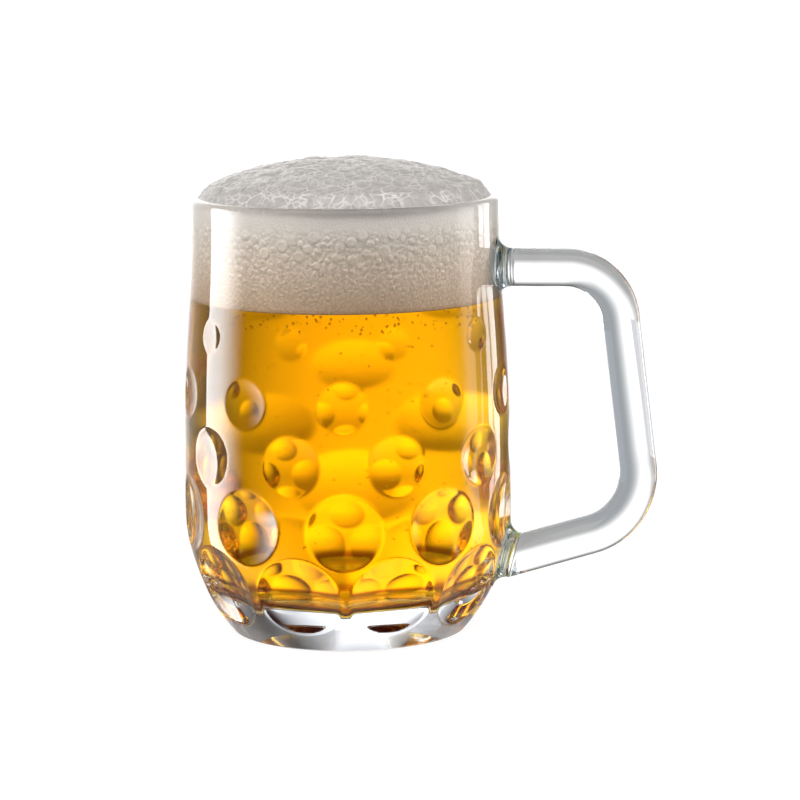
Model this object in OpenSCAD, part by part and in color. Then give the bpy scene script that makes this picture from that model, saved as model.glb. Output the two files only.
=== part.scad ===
// Half-litre glass beer mug with dimpled sides and a fused rod handle, filled with beer and a foam head.
// Millimetres, Z up. The origin is the centre of the flat underside, the handle points to +X.

/* [Glass body] */
// Height of the glass from the underside to the rim
body_height = 131.2; // [120:0.2:150]
// Outer diameter at the widest part of the body
belly_dia = 98.6; // [97.5:0.2:104]
// How much narrower the rim is than the belly
rim_draw_in = 6.6; // [2:0.2:10]
// Height where the heel curve meets the straight belly
heel_height = 37; // [34:0.5:42]
// Radius of the heel curve between the underside and the belly
heel_radius = 56; // [50:1:70]
// Height where the belly starts to draw in towards the rim
belly_top_height = 50; // [44:0.5:60]
// Share of the drawn-in length that bulges before the wall turns hollow
neck_turn_share = 0.62; // [0.6:0.01:0.7]
// Width of the small bevel round the underside
foot_edge = 0.9; // [0.4:0.1:1.5]
// Wall thickness at the rim, which is also the width of the rounded lip
rim_wall = 3.6; // [3:0.1:5]
// Thickness of the glass below the drinking space
floor_thickness = 12; // [9:0.5:16]
// Radius between the inner wall and the inner floor
floor_corner_radius = 14; // [8:0.5:20]

/* [Dimples] */
// Number of dimples in each ring round the body
dimples_per_ring = 10; // [9:1:10]
// Turn of the dimple rings against the handle, degrees
dimple_turn = -10.5; // [-18:0.5:18]
// Radius of the round form that presses every dimple
dimple_form_radius = 25; // [22:0.5:30]
// Height of the first, uppermost ring
ring_1_height = 92.6; // [91:0.2:95]
// Diameter of the dimples of the first ring
ring_1_dia = 9.5; // [7:0.25:11]
// Height of the second ring
ring_2_height = 74.4; // [73:0.2:76]
// Diameter of the dimples of the second ring
ring_2_dia = 14.7; // [12:0.1:16]
// Height of the third ring
ring_3_height = 57.2; // [56:0.2:58]
// Diameter of the dimples of the third ring
ring_3_dia = 17.6; // [15:0.1:18.5]
// Height of the fourth ring
ring_4_height = 38; // [37.2:0.2:39]
// Diameter of the dimples of the fourth ring
ring_4_dia = 22.5; // [19:0.25:23]
// Height of the fifth, lowest ring
ring_5_height = 17.4; // [17:0.2:18]
// Diameter of the dimples of the fifth ring
ring_5_dia = 26; // [22:0.25:26.5]

/* [Handle] */
// Diameter of the glass rod of the handle
rod_dia = 11.5; // [10:0.25:13]
// Depth of the centre of the level upper run below the rim
upper_run_drop = 21.2; // [17:0.2:25]
// Distance from the belly to the corner of the upper bend
upper_corner_gap = 31.5; // [28:0.1:36]
// Distance from the belly to the corner of the lower bend
lower_corner_gap = 40.3; // [37:0.1:46]
// Slope of the lower run, degrees
lower_run_slope = 16.7; // [12:0.1:20]
// Radius of the upper bend along the centre of the rod
upper_bend_radius = 16.3; // [13:0.1:19]
// Radius of the lower bend along the centre of the rod
lower_bend_radius = 20; // [15:0.25:24]

/* [Handle pads] */
// Length of the upper pad from the body to its seam with the rod
upper_pad_length = 3.6; // [2.5:0.1:5]
// Radius of the hollow flare round the upper pad
upper_pad_flare = 4.2; // [4:0.1:5]
// Height of the centre of the lower pad on the body
lower_pad_height = 23.4; // [22:0.2:25]
// Length of the lower pad from the body to its seam with the rod
lower_pad_length = 3.3; // [2.5:0.1:4.5]
// Width of the narrow ledge of the lower pad above and below the rod
lower_pad_ledge = 0.3; // [0.2:0.05:0.8]
// Radius of the hollow flare round the lower pad
lower_pad_flare = 4.2; // [4:0.1:5]

/* [Beer and foam] */
// Depth of the beer level below the rim
beer_drop = 30.5; // [21:0.5:41]
// Rise of the foam dome above the rim
foam_rise = 11.8; // [8:0.2:16]
// Rise of the foam shoulder above the rim
foam_shoulder_rise = 3.6; // [2:0.1:5]
// Width of the sloping foam shoulder
foam_shoulder_width = 2.4; // [1.5:0.1:4]

/* [Hidden] */
// Number of facets of every round, and of the long shallow curves of the outline
$fn = 96;
outline_facets = 720;
// Small overrun that carries every cut past the face it leaves
overrun = 2;
// Half sizes of the body
belly_radius = belly_dia / 2;
rim_radius = (belly_dia - rim_draw_in) / 2;
bore_radius = rim_radius - rim_wall;
lip_radius = rim_wall / 2;
lip_height = body_height - lip_radius;
// Neck between the belly and the rim, two arcs that share one slope where they meet
neck_length = lip_height - belly_top_height;
neck_turn = 2 * atan((belly_radius - rim_radius) / neck_length);
neck_low_length = neck_length * neck_turn_share;
neck_high_length = neck_length - neck_low_length;
neck_low_radius = neck_low_length / sin(neck_turn);
neck_high_radius = neck_high_length / sin(neck_turn);
neck_mid_height = belly_top_height + neck_low_length;
// Radius of the underside where the heel curve ends
foot_radius = outer_radius(foot_edge) - foot_edge;
// Rod, with the small step in radius and the overlap where a straight run enters a bend
rod_radius = rod_dia / 2;
joint_step = 0.03;
joint_overlap = 0.5;
// Rings of dimples from the top down: height, diameter, half step aside
RINGS = [
    [ring_1_height, ring_1_dia, 1],
    [ring_2_height, ring_2_dia, 0],
    [ring_3_height, ring_3_dia, 1],
    [ring_4_height, ring_4_dia, 0],
    [ring_5_height, ring_5_dia, 1]
];
dimple_step = 360 / dimples_per_ring;
// Place of the handle against the rim and the belly
upper_run_height = body_height - upper_run_drop;
upper_corner_reach = belly_radius + upper_corner_gap;
lower_corner_reach = belly_radius + lower_corner_gap;
// Seams between the pads and the rod: the upper one is upright, the lower one lies along the heel
upper_seam_x = outer_radius(upper_run_height) + upper_pad_length;
lower_pad_tilt = outer_tilt(lower_pad_height);
lower_seam = [outer_radius(lower_pad_height), lower_pad_height]
    + lower_pad_length * [cos(lower_pad_tilt), sin(lower_pad_tilt)];
lower_pad_radius = rod_radius / cos(lower_run_slope - lower_pad_tilt) + lower_pad_ledge;
lower_corner_height = lower_seam[1] + (lower_corner_reach - lower_seam[0]) * tan(lower_run_slope);
// Corners of the centre line of the rod, from the upper seam to the lower seam, in X and Z
ROD_POINTS = [
    [upper_seam_x, upper_run_height],
    [upper_corner_reach, upper_run_height],
    [lower_corner_reach, lower_corner_height],
    lower_seam
];
// Bend radius at each corner, zero at the two ends
ROD_RADII = [0, upper_bend_radius, lower_bend_radius, 0];
// Beer and foam
beer_level = body_height - beer_drop;
foam_top = body_height + foam_rise;
foam_radius = rim_radius - lip_radius;
shoulder_radius = foam_radius - foam_shoulder_width;
shoulder_height = body_height + foam_shoulder_rise;
dome_sag = foam_top - shoulder_height;
dome_radius = (shoulder_radius * shoulder_radius + dome_sag * dome_sag) / (2 * dome_sag);

// Outer radius of the undimpled body at height z
function outer_radius(z) =
    z < heel_height ? belly_radius - heel_radius + sqrt(pow(heel_radius, 2) - pow(heel_height - z, 2))
    : z < belly_top_height ? belly_radius
    : z < neck_mid_height ? belly_radius - neck_low_radius
        + sqrt(pow(neck_low_radius, 2) - pow(z - belly_top_height, 2))
    : rim_radius + neck_high_radius - sqrt(pow(neck_high_radius, 2) - pow(lip_height - z, 2));

// Tilt of the outward normal of the body at height z, degrees above level
function outer_tilt(z) =
    z < heel_height ? -asin((heel_height - z) / heel_radius)
    : z < belly_top_height ? 0
    : z < neck_mid_height ? asin((z - belly_top_height) / neck_low_radius)
    : asin((lip_height - z) / neck_high_radius);

// Upright curvature of the body at height z, positive where it bulges
function upright_curvature(z) =
    z < heel_height ? 1 / heel_radius
    : z < belly_top_height ? 0
    : z < neck_mid_height ? 1 / neck_low_radius
    : -1 / neck_high_radius;

// Level curvature of the body at height z
function level_curvature(z) = cos(outer_tilt(z)) / outer_radius(z);

// Curvature of the ball that cuts as large an opening into the curved wall as the cap has in a flat one
function ball_curvature(z, cap) =
    sqrt(pow((level_curvature(z) - upright_curvature(z)) / 2, 2) + pow(cap, 2))
    - (level_curvature(z) + upright_curvature(z)) / 2;

// Turn of the rod at corner i, degrees, clockwise in X and Z
function heading(i) = atan2(ROD_POINTS[i + 1][1] - ROD_POINTS[i][1], ROD_POINTS[i + 1][0] - ROD_POINTS[i][0]);
function bend(i) = (i == 0 || i == len(ROD_POINTS) - 1) ? 0 : turn_of(heading(i - 1) - heading(i));
function turn_of(angle) = angle - 360 * floor(angle / 360);
// Length of straight rod that the bend at corner i takes up on each side
function bend_reach(i) = ROD_RADII[i] * tan(bend(i) / 2);

// Half outline of the solid body, with the heel, belly, neck and rounded lip
module outer_outline() {
    // Heel curve up to the belly, with the edge of the underside taken off
    intersection() {
        translate([belly_radius - heel_radius, heel_height])
            circle(r = heel_radius, $fn = outline_facets);
        polygon([
            [0, 0],
            [foot_radius, 0],
            [foot_radius + foot_edge, foot_edge],
            [belly_radius + overrun, foot_edge],
            [belly_radius + overrun, heel_height],
            [0, heel_height]
        ]);
    }
    // Straight belly
    translate([0, heel_height])
        square([belly_radius, belly_top_height - heel_height]);
    // Lower neck, bulging
    intersection() {
        translate([belly_radius - neck_low_radius, belly_top_height])
            circle(r = neck_low_radius, $fn = outline_facets);
        translate([0, belly_top_height])
            square([belly_radius + overrun, neck_low_length]);
    }
    // Upper neck, hollow
    difference() {
        translate([0, neck_mid_height])
            square([belly_radius, neck_high_length]);
        translate([rim_radius + neck_high_radius, lip_height])
            circle(r = neck_high_radius, $fn = outline_facets);
    }
}

// Half outline of the drinking space up to a given height
module bore_outline(top) {
    corner = floor_corner_radius;
    translate([0, floor_thickness + corner])
        square([bore_radius, top - floor_thickness - corner]);
    translate([0, floor_thickness])
        square([bore_radius - corner, corner]);
    intersection() {
        translate([bore_radius - corner, floor_thickness + corner])
            circle(r = corner);
        translate([bore_radius - corner, floor_thickness])
            square([corner, corner]);
    }
}

// Round lip that closes the wall at the rim
module lip_outline() {
    translate([rim_radius - lip_radius, lip_height])
        circle(r = lip_radius);
}

// Ball that cuts one dimple at the +X side of the body
module dimple(height, dia) {
    depth = dimple_form_radius - sqrt(pow(dimple_form_radius, 2) - pow(dia / 2, 2));
    ball_radius = 1 / ball_curvature(height, 1 / dimple_form_radius);
    translate([outer_radius(height), 0, height])
        rotate([0, -outer_tilt(height), 0])
            translate([ball_radius - depth, 0, 0])
                sphere(r = ball_radius);
}

// Angle of dimple i of a ring against the handle, degrees from -180 to 180
function dimple_angle(ring, i) = turn_of(dimple_turn + dimple_step * (i + ring[2] / 2) + 180) - 180;

// True where the lower pad sits inside the dimple, which is then left out
function under_pad(ring, i) =
    norm([belly_radius * sin(dimple_angle(ring, i)), ring[0] - lower_pad_height]) < ring[1] / 2;

// Dimples no farther from the handle than a given angle
module dimples(span) {
    for (ring = RINGS)
        for (i = [0 : dimples_per_ring - 1])
            if (abs(dimple_angle(ring, i)) <= span && !under_pad(ring, i))
                rotate([0, 0, dimple_angle(ring, i)])
                    dimple(ring[0], ring[1]);
}

// Solid glass body at the handle side, without the drinking space
module body_solid() {
    difference() {
        rotate_extrude()
            outer_outline();
        dimples(dimple_step / 2);
    }
}

// Glass body with its dimples and drinking space
module mug_body() {
    color([0.85, 0.92, 0.95, 0.5])
        difference() {
            rotate_extrude()
                difference() {
                    union() {
                        outer_outline();
                        lip_outline();
                    }
                    bore_outline(lip_height);
                }
            dimples(180);
        }
}

// Round pad along +X that ends at x = 0 and flares towards -X
module pad_form(end_radius, flare, depth) {
    rotate([0, -90, 0])
        rotate_extrude()
            difference() {
                square([end_radius + flare, depth]);
                translate([end_radius + flare, 0])
                    circle(r = flare);
            }
}

// Fused pad of the upper end of the handle
module upper_handle_pad() {
    color([0.80, 0.88, 0.92, 0.5])
        difference() {
            translate([upper_seam_x, 0, upper_run_height])
                pad_form(rod_radius, upper_pad_flare, upper_pad_length + rim_wall);
            rotate_extrude()
                outer_outline();
        }
}

// Moves a form that ends at x = 0 to the seam of the lower pad
module at_lower_seam() {
    translate([lower_seam[0], 0, lower_seam[1]])
        rotate([0, -lower_pad_tilt, 0])
            children();
}

// Fused pad of the lower end of the handle
module lower_handle_pad() {
    color([0.80, 0.88, 0.92, 0.5])
        difference() {
            at_lower_seam()
                pad_form(lower_pad_radius, lower_pad_flare, lower_pad_length + 2 * rim_wall);
            body_solid();
        }
}

// One straight of the rod between corners i and i + 1, run a little way into the bend at each end
module rod_straight(i) {
    start = i == 0 ? 0 : bend_reach(i) - joint_overlap;
    end = i == len(ROD_POINTS) - 2 ? -rod_radius : bend_reach(i + 1) - joint_overlap;
    length = norm(ROD_POINTS[i + 1] - ROD_POINTS[i]) - start - end;
    translate([ROD_POINTS[i][0], 0, ROD_POINTS[i][1]])
        rotate([0, 90 - heading(i), 0])
            translate([0, 0, start])
                cylinder(r = rod_radius - joint_step, h = length);
}

// One bend of the rod at corner i
module rod_bend(i) {
    back = heading(i - 1);
    start = ROD_POINTS[i] - bend_reach(i) * [cos(back), sin(back)];
    centre = start + ROD_RADII[i] * [sin(back), -cos(back)];
    translate([centre[0], 0, centre[1]])
        rotate([90, 0, 0])
            rotate([0, 0, back + 90 - bend(i)])
                rotate_extrude(angle = bend(i))
                    translate([ROD_RADII[i], 0])
                        circle(r = rod_radius);
}

// Bent glass rod of the handle, cut along the seam of the lower pad
module handle() {
    color([0.82, 0.90, 0.94, 0.5])
        difference() {
            union() {
                for (i = [0 : len(ROD_POINTS) - 2])
                    rod_straight(i);
                for (i = [1 : len(ROD_POINTS) - 2])
                    rod_bend(i);
            }
            at_lower_seam()
                translate([-2 * rod_dia, -rod_dia, -rod_dia])
                    cube(2 * rod_dia);
        }
}

// Beer that fills the drinking space up to its level
module beer() {
    color([0.95, 0.65, 0.05, 0.7])
        rotate_extrude()
            bore_outline(beer_level);
}

// Foam head that stands on the beer and domes above the rim
module foam_head() {
    color([0.98, 0.97, 0.93])
        rotate_extrude()
            difference() {
                union() {
                    translate([0, beer_level])
                        square([bore_radius, lip_height - beer_level]);
                    intersection() {
                        translate([0, foam_top - dome_radius])
                            circle(r = dome_radius, $fn = outline_facets);
                        polygon([
                            [0, lip_height],
                            [foam_radius, lip_height],
                            [foam_radius, body_height + foam_shoulder_rise - foam_shoulder_width],
                            [shoulder_radius, shoulder_height],
                            [shoulder_radius, foam_top + overrun],
                            [0, foam_top + overrun]
                        ]);
                    }
                }
                lip_outline();
            }
}

mug_body();
upper_handle_pad();
lower_handle_pad();
handle();
beer();
foam_head();
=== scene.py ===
"""Looks of the dimpled glass beer mug: clear pressed glass, beer with gas bubbles and a foam head."""

import math

import bpy
import numpy as np
from mathutils import Matrix, Vector


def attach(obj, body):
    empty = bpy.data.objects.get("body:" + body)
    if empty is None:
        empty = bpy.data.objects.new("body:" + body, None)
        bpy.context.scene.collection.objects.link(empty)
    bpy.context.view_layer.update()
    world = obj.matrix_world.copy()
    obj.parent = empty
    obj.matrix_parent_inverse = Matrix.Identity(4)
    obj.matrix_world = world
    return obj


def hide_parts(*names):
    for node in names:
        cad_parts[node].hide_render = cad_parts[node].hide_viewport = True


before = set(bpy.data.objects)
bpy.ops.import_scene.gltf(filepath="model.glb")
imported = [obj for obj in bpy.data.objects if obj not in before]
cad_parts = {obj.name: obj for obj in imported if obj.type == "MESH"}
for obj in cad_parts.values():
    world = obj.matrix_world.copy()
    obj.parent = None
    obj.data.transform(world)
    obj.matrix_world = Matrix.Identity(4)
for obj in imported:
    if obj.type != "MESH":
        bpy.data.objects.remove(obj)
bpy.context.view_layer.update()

MM = 0.001
FULL_TURN = 2 * math.pi
RANDOM_SEED = 41
rng = np.random.default_rng(RANDOM_SEED)

# Sizes in millimetres, the same as in the part's source
BODY_HEIGHT = 131.2
BELLY_RADIUS = 49.3
RIM_RADIUS = 46.0
HEEL_HEIGHT = 37.0
HEEL_RADIUS = 56.0
BELLY_TOP = 50.0
NECK_TURN_SHARE = 0.62
FOOT_ROUND = 1.3
RIM_WALL = 3.6
FLOOR = 12.0
FLOOR_CORNER = 14.0
ROD_RADIUS = 5.75
UPPER_RUN = 110.0
UPPER_CORNER = 80.8
LOWER_CORNER = 89.6
LOWER_SLOPE = math.radians(16.7)
UPPER_BEND = 16.3
LOWER_BEND = 20.0
UPPER_PAD_LENGTH = 3.6
PAD_FLARE = 4.2
LOWER_PAD_HEIGHT = 23.4
LOWER_PAD_LENGTH = 3.3
LOWER_PAD_LEDGE = 0.3
BEER_LEVEL = 100.7
FOAM_TOP = 143.0

# Sizes that follow from them
LIP_RADIUS = RIM_WALL / 2
LIP_HEIGHT = BODY_HEIGHT - LIP_RADIUS
LIP_MIDDLE = RIM_RADIUS - LIP_RADIUS
BORE_RADIUS = RIM_RADIUS - RIM_WALL
NECK_LENGTH = LIP_HEIGHT - BELLY_TOP
NECK_TURN = 2 * math.atan((BELLY_RADIUS - RIM_RADIUS) / NECK_LENGTH)
NECK_LOW_RADIUS = NECK_LENGTH * NECK_TURN_SHARE / math.sin(NECK_TURN)
NECK_HIGH_RADIUS = NECK_LENGTH * (1 - NECK_TURN_SHARE) / math.sin(NECK_TURN)
NECK_MID = BELLY_TOP + NECK_LENGTH * NECK_TURN_SHARE

# Dimples: height, diameter and half steps aside of each ring, from the top down
RINGS = (
    (92.6, 9.5, 1),
    (74.4, 14.7, 0),
    (57.2, 17.6, 1),
    (38.0, 22.5, 0),
    (17.4, 26.0, 1),
)
DIMPLES_PER_RING = 10
DIMPLE_STEP = FULL_TURN / DIMPLES_PER_RING
DIMPLE_TURN = math.radians(-10.5)
# One ball presses all dimples, and their edges are rounded over about this width
DIMPLE_BALL = 25.0
DIMPLE_EDGE = 0.26

# Beer and foam run this far into the glass, so that no air shows between them
WETTING = 0.06
# The rod and the pads run this far into each other where they are fused, and the foam into the beer
FUSED = 0.04

# Mesh density: points around a form, and steps along its outline
BODY_SEGMENTS = 460
ROD_SEGMENTS = 72
BEER_SEGMENTS = 240
WALL_STEP = 0.68
HIGH_NECK_STEP = 4 * WALL_STEP
FOOT_STEP = 0.25
LIP_STEP = 0.35
BORE_STEP = 12
BORE_CORNER_STEP = 1.2
BORE_FLOOR_STEP = 6
UNDERSIDE_STEP = 10
ROD_STEP = 0.8
BEND_POINTS = 40
PAD_ROWS = 14
# Radius of the smallest ring of a turned form, inside which a fan of triangles closes it
EYE_RADIUS = 4
# Distance over which the slopes of the dimpled wall are measured
SLOPE_STEP = 0.05


# Meshes


def link_mesh(name, points, faces, material, normals=None, flat=0):
    """A smooth-shaded mesh object from points in millimetres, with its last faces flat if asked."""
    mesh = bpy.data.meshes.new(name)
    mesh.from_pydata((np.asarray(points) * MM).tolist(), [], faces)
    mesh.polygons.foreach_set("use_smooth", [True] * (len(faces) - flat) + [False] * flat)
    mesh.materials.append(material)
    mesh.validate()
    if normals is not None:
        mesh.normals_split_custom_set_from_vertices(np.asarray(normals).tolist())
    mesh.update()
    obj = bpy.data.objects.new(name, mesh)
    bpy.context.scene.collection.objects.link(obj)
    return obj


def add_layer(obj, name, values):
    """A number at each point of a mesh, which its material reads by name."""
    layer = obj.data.attributes.new(name, "FLOAT", "POINT")
    layer.data.foreach_set("value", np.asarray(values, np.float32).ravel())


def tube_faces(rows, columns):
    """Quads between rows of points that each run once round."""
    faces = []
    for i in range(rows - 1):
        a = i * columns
        b = a + columns
        for j in range(columns):
            k = (j + 1) % columns
            faces.append((a + j, a + k, b + k, b + j))
    return faces


def closed_tube(rings, start, end):
    """Points and faces of a tube of rings, closed by a fan to a point at each end."""
    rows, columns, _ = rings.shape
    points = np.vstack([rings.reshape(-1, 3), [start], [end]])
    faces = tube_faces(rows, columns)
    first, last = rows * columns, (rows - 1) * columns
    for j in range(columns):
        k = (j + 1) % columns
        faces.append((first, k, j))
        faces.append((first + 1, last + j, last + k))
    return points, faces


def grid_faces(rows, columns):
    """Quads between the points of a grid."""
    index = np.arange(rows * columns).reshape(rows, columns)
    quads = np.stack([index[:-1, :-1], index[:-1, 1:], index[1:, 1:], index[1:, :-1]], axis=-1)
    return quads.reshape(-1, 4).tolist()


def grid_fan(rows, columns):
    """Triangles from the edge of a grid to the one point that follows its own."""
    index = np.arange(rows * columns).reshape(rows, columns)
    loop = [*index[0, :-1], *index[:-1, -1], *index[-1, :0:-1], *index[:0:-1, 0]]
    return [(rows * columns, int(q), int(p)) for p, q in zip(loop, loop[1:] + loop[:1])]


def around(radii, heights, angles):
    """Rings of points about the axis of the mug."""
    r = np.broadcast_to(np.asarray(radii)[:, None], (len(radii), len(angles)))
    z = np.broadcast_to(np.asarray(heights)[:, None], r.shape)
    return np.stack([r * np.cos(angles), r * np.sin(angles), z], axis=-1)


def turn(count):
    """Angles of points once round."""
    return np.linspace(0, FULL_TURN, count, endpoint=False)


# Form of the glass body

# Heights between which the tint of the thick foot fades out
FOOT_FADE = (FLOOR - 2, FLOOR + 1)


def arc(centre, radius, start, end, step):
    """Points and outward directions along an arc in the half plane of radius and height."""
    count = max(2, int(round(abs(end - start) * radius / step)) + 1)
    a = np.linspace(start, end, count)
    way = np.stack([np.cos(a), np.sin(a)], axis=-1)
    return np.asarray(centre) + radius * way, way


def line(start, end, way, step):
    """Points along a straight of the outline, with one outward direction."""
    start, end = np.asarray(start, float), np.asarray(end, float)
    count = max(2, int(round(np.linalg.norm(end - start) / step)) + 1)
    t = np.linspace(0, 1, count)[:, None]
    return start + t * (end - start), np.tile(way, (count, 1)).astype(float)


def joined(parts):
    """One run of points and directions, without the point that two parts share."""
    points = [parts[0][0]] + [p[1:] for p, _ in parts[1:]]
    ways = [parts[0][1]] + [w[1:] for _, w in parts[1:]]
    return np.vstack(points), np.vstack(ways)


def wall_outline():
    """Outer wall from the foot to the rim."""
    heel = np.array([BELLY_RADIUS - HEEL_RADIUS, HEEL_HEIGHT])
    foot_r = heel[0] + math.sqrt((HEEL_RADIUS - FOOT_ROUND) ** 2 - (HEEL_HEIGHT - FOOT_ROUND) ** 2)
    foot_turn = math.atan2(FOOT_ROUND - HEEL_HEIGHT, foot_r - heel[0])
    low_centre = (BELLY_RADIUS - NECK_LOW_RADIUS, BELLY_TOP)
    high_centre = (RIM_RADIUS + NECK_HIGH_RADIUS, LIP_HEIGHT)
    high, high_way = arc(high_centre, NECK_HIGH_RADIUS, math.pi + NECK_TURN, math.pi, HIGH_NECK_STEP)
    return joined([
        arc((foot_r, FOOT_ROUND), FOOT_ROUND, -math.pi / 2, foot_turn, FOOT_STEP),
        arc(heel, HEEL_RADIUS, foot_turn, 0, WALL_STEP),
        line((BELLY_RADIUS, HEEL_HEIGHT), (BELLY_RADIUS, BELLY_TOP), (1, 0), WALL_STEP),
        arc(low_centre, NECK_LOW_RADIUS, 0, NECK_TURN, WALL_STEP),
        (high, -high_way),
    ])


def bore_outline(spread):
    """Drinking space from the rim to the floor, made larger by a spread, with directions into it."""
    corner = (BORE_RADIUS - FLOOR_CORNER, FLOOR + FLOOR_CORNER)
    bend, way = arc(corner, FLOOR_CORNER + spread, 0, -math.pi / 2, BORE_CORNER_STEP)
    radius = BORE_RADIUS + spread
    bottom = FLOOR - spread
    return joined([
        line((radius, LIP_HEIGHT), (radius, corner[1]), (-1, 0), BORE_STEP),
        (bend, -way),
        line((corner[0], bottom), (EYE_RADIUS, bottom), (0, 1), BORE_FLOOR_STEP),
    ])


def wall_length(height):
    """Length along the wall from the belly's lower edge up to a height, negative below it."""
    below = HEEL_RADIUS * math.asin(min(0, (height - HEEL_HEIGHT) / HEEL_RADIUS))
    above = min(max(height - HEEL_HEIGHT, 0), BELLY_TOP - HEEL_HEIGHT)
    neck = NECK_LOW_RADIUS * math.asin(max(0, height - BELLY_TOP) / NECK_LOW_RADIUS)
    return below + above + neck


def under_lower_pad(height, dia, angle):
    """True where the lower pad of the handle sits inside a dimple, which is then left out."""
    away = np.hypot(BELLY_RADIUS * np.sin(angle), height - LOWER_PAD_HEIGHT)
    return (away < dia / 2) & (np.cos(angle) > 0)


def dimple_depth(angles, places, radii):
    """Depth of the dimples at points of the wall, given their angles, places along the wall and radii."""
    depth = np.zeros(np.broadcast(angles, places).shape)
    for height, dia, aside in RINGS:
        half = dia / 2
        floor = math.sqrt(DIMPLE_BALL**2 - half**2)
        slope = half / floor
        first = DIMPLE_TURN + aside * DIMPLE_STEP / 2
        number = np.round((angles - first) / DIMPLE_STEP)
        across = radii * (angles - first - number * DIMPLE_STEP)
        away = np.hypot(across, places - wall_length(height))
        pressed = np.sqrt(np.maximum(DIMPLE_BALL**2 - away**2, 0)) - floor
        cap = np.where(away < half, pressed, slope * (half - away))
        edge = DIMPLE_EDGE * slope
        rounded = edge * np.logaddexp(0, cap / edge)
        covered = under_lower_pad(height, dia, first + number * DIMPLE_STEP)
        depth = depth + np.where(covered, 0, rounded)
    return depth


def wall_rings(angles):
    """Points and normals of the dimpled outer wall."""
    outline, way = wall_outline()
    steps = np.linalg.norm(np.diff(outline, axis=0), axis=1)
    place = np.concatenate([[0], np.cumsum(steps)])
    heel_row = np.argmin(np.abs(outline[:, 1] - HEEL_HEIGHT))
    place = (place - place[heel_row])[:, None]
    radii = outline[:, :1]

    def pressed(shift_around, shift_up):
        shift_angle = shift_around / BELLY_RADIUS
        return dimple_depth(angles[None, :] + shift_angle, place + shift_up, radii)

    depth = pressed(0, 0)
    around_slope = (pressed(SLOPE_STEP, 0) - pressed(-SLOPE_STEP, 0)) / (2 * SLOPE_STEP)
    up_slope = (pressed(0, SLOPE_STEP) - pressed(0, -SLOPE_STEP)) / (2 * SLOPE_STEP)
    cos, sin = np.cos(angles)[None, :], np.sin(angles)[None, :]
    out_r, out_z = way[:, :1], way[:, 1:]
    normal = np.stack([out_r * cos, out_r * sin, out_z + 0 * cos], axis=-1)
    level = np.stack([-sin + 0 * out_r, cos + 0 * out_r, 0 * out_r * cos], axis=-1)
    up = np.stack([-out_z * cos, -out_z * sin, out_r + 0 * cos], axis=-1)
    points = np.stack([radii * cos, radii * sin, outline[:, 1:] + 0 * cos], axis=-1)
    points = points - depth[..., None] * normal
    tilted = normal + around_slope[..., None] * level + up_slope[..., None] * up
    return points, tilted / np.linalg.norm(tilted, axis=-1, keepdims=True)


def plain_rings(outline, way, angles):
    """Points and normals of a plain turned form."""
    return around(outline[:, 0], outline[:, 1], angles), around(way[:, 0], way[:, 1], angles)


def make_body(material):
    """Glass body as one closed mesh: underside, dimpled wall, lip and drinking space."""
    angles = turn(BODY_SEGMENTS)
    wall, wall_normals = wall_rings(angles)
    foot = wall_outline()[0][0]
    under, under_normals = plain_rings(*line((EYE_RADIUS, 0), foot, (0, -1), UNDERSIDE_STEP), angles)
    lip_arc = arc((LIP_MIDDLE, LIP_HEIGHT), LIP_RADIUS, 0, math.pi, LIP_STEP)
    lip, lip_normals = plain_rings(*lip_arc, angles)
    bore, bore_normals = plain_rings(*bore_outline(0), angles)
    rings = np.concatenate([under[:-1], wall, lip[1:], bore[1:]])
    normals = np.concatenate([under_normals[:-1], wall_normals, lip_normals[1:], bore_normals[1:]])
    points, faces = closed_tube(rings, (0, 0, 0), (0, 0, FLOOR))
    normals = np.vstack([normals.reshape(-1, 3), [(0, 0, -1)], [(0, 0, 1)]])
    body = link_mesh("glass_body", points, faces, material, normals)
    add_glass_layers(body, points, len(bore) - 2)
    return body


def add_glass_layers(body, points, wet_rows):
    """Marks where the bore is wet, its last rows and the middle of the floor, and the thick dry foot."""
    wet = np.zeros(len(points))
    under_middle = len(points) - 2
    wet[under_middle - wet_rows * BODY_SEGMENTS:] = 1
    wet[under_middle] = 0
    add_layer(body, "wet", wet)
    add_layer(body, "thick", np.interp(points[:, 2], FOOT_FADE, (1, 0)) * (1 - wet))


# Handle and its pads

# Radius of the rod along its length: a little slimmer in the grip, a little thicker below
ROD_PLACE_SHARES = (0, 0.2, 0.35, 0.6, 0.75, 1)
ROD_RADIUS_SHARES = (0.995, 0.99, 0.965, 0.965, 1.02, 1.04)
# Length over which the end of the rod is slanted to the seam of the lower pad
SLANT_LENGTH = 3 * ROD_RADIUS
# The edge of a pad lies this deep in the wall, and its middle this much deeper
PAD_SUNK = 0.12
PAD_ROOT = 0.3
HALVINGS = 40


def outer_radius(z):
    """Outer radius of the undimpled body at a height."""
    if z < HEEL_HEIGHT:
        return BELLY_RADIUS - HEEL_RADIUS + math.sqrt(HEEL_RADIUS**2 - (HEEL_HEIGHT - z) ** 2)
    if z < BELLY_TOP:
        return BELLY_RADIUS
    if z < NECK_MID:
        return BELLY_RADIUS - NECK_LOW_RADIUS + math.sqrt(NECK_LOW_RADIUS**2 - (z - BELLY_TOP) ** 2)
    return RIM_RADIUS + NECK_HIGH_RADIUS - math.sqrt(NECK_HIGH_RADIUS**2 - (LIP_HEIGHT - z) ** 2)


def outward(tilt):
    """Direction from the mug towards the handle, tilted up by an angle."""
    return np.array([math.cos(tilt), 0, math.sin(tilt)])


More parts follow.
